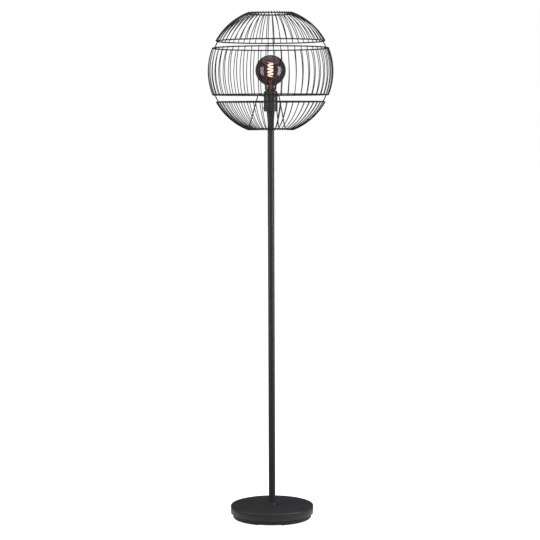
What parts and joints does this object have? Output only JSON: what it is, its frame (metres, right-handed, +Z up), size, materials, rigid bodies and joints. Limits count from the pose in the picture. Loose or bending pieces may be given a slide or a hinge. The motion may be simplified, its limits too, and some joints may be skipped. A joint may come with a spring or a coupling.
{
  "type": "floor lamp",
  "caption": "Floor lamp with a weighted round base, a slim screwed pole and a ball-shaped open wire cage around a globe bulb.",
  "frame": {"origin": "on the floor, on the pole's axis, at the centre of the base", "axes": "+Z up along the pole, -Y to the front, +X to the right; the cord inlet is at the rear, +Y"},
  "size_m": [0.394, 0.394, 1.6049],
  "materials": {
    "black_coat": "satin black powder coat, fine grain",
    "wire_coat": "matt black powder coat on steel wire",
    "cast_weight": "cast concrete",
    "plate_coat": "matt black paint",
    "black_rubber": "matt black rubber",
    "plated_steel": "bright zinc plate",
    "dark_screw": "blackened steel",
    "brass_parts": "plain brass",
    "holder_ceramic": "unglazed white steatite",
    "holder_plastic": "black thermoplastic",
    "block_plastic": "white thermoplastic",
    "lead_jacket": "black flexible sheath",
    "smoked_glass": "smoked grey-brown glass",
    "stem_glass": "clear glass",
    "cap_metal": "rolled bright metal",
    "cap_glass": "black glass insulator",
    "solder": "dull solder",
    "filament_glow": "glowing amber filament",
    "nickel_wire": "nickel wire"
  },
  "bodies": {
    "stand": {"base_cover": "black_coat", "base_weight": "cast_weight", "base_plate": "plate_coat", "base_plate_screws": "plated_steel", "base_feet": "black_rubber", "cord_grommet": "black_rubber", "terminal_block": "block_plastic", "terminal_block_screws": "brass_parts", "foot_washer": "plated_steel", "foot_nut": "plated_steel", "foot_bolt": "plated_steel", "foot_collar": "black_coat", "foot_bush": "plated_steel", "pole_lower": "black_coat", "lower_joint_stud": "plated_steel", "lower_joint_bush": "plated_steel", "pole_middle": "black_coat", "upper_joint_stud": "plated_steel", "upper_joint_bush": "plated_steel", "pole_upper": "black_coat", "top_bush": "plated_steel", "neck_cone": "black_coat", "inner_lead": "lead_jacket", "holder_nipple": "plated_steel", "holder_lock_nut": "plated_steel", "holder_cup": "black_coat", "cup_side_screw": "dark_screw", "holder_core": "holder_ceramic", "terminal_screws": "brass_parts", "holder_sleeve": "holder_plastic", "screw_shell": "brass_parts", "centre_contact": "brass_parts"},
    "shade": {"fitter_ring": "wire_coat", "spider_arm_1": "wire_coat", "spider_arm_2": "wire_coat", "spider_arm_3": "wire_coat", "top_ring": "wire_coat", "upper_ribs": "wire_coat", "upper_hem_ring": "wire_coat", "upper_struts": "wire_coat", "band_top_ring": "wire_coat", "band_ribs": "wire_coat", "band_bottom_ring": "wire_coat", "lower_struts": "wire_coat", "lower_hem_ring": "wire_coat", "lower_ribs": "wire_coat", "bottom_ring": "wire_coat"},
    "clamp_ring": {"shade_ring": "black_coat"},
    "bulb_tip": {"cap_contact": "solder"},
    "bulb": {"bulb_glass": "smoked_glass", "bulb_cap": "cap_metal", "cap_insulator": "cap_glass", "bulb_stem": "stem_glass", "filament": "filament_glow", "support_wires": "nickel_wire"}
  },
  "joints": [
    {"name": "shade_turn", "type": "hinge", "parent": "stand", "child": "shade", "pos_m": [0, 0, 1.344], "axis": [0, 0, 1], "continuous": true},
    {"name": "clamp_ring_turn", "type": "hinge", "parent": "stand", "child": "clamp_ring", "pos_m": [0, 0, 1.352], "axis": [0, 0, 1], "range_deg": [0, 720]},
    {"name": "bulb_rise", "type": "slide", "parent": "stand", "child": "bulb_tip", "axis": [0, 0, 1], "range_m": [0, 0.0154]},
    {"name": "bulb_turn", "type": "hinge", "parent": "bulb_tip", "child": "bulb", "pos_m": [0, 0, 1.362], "axis": [0, 0, 1], "range_deg": [0, 1530]}
  ],
  "couplings": [
    {"joint": "bulb_rise", "follows": "bulb_turn", "m_per_rad": 0.00057614}
  ]
}
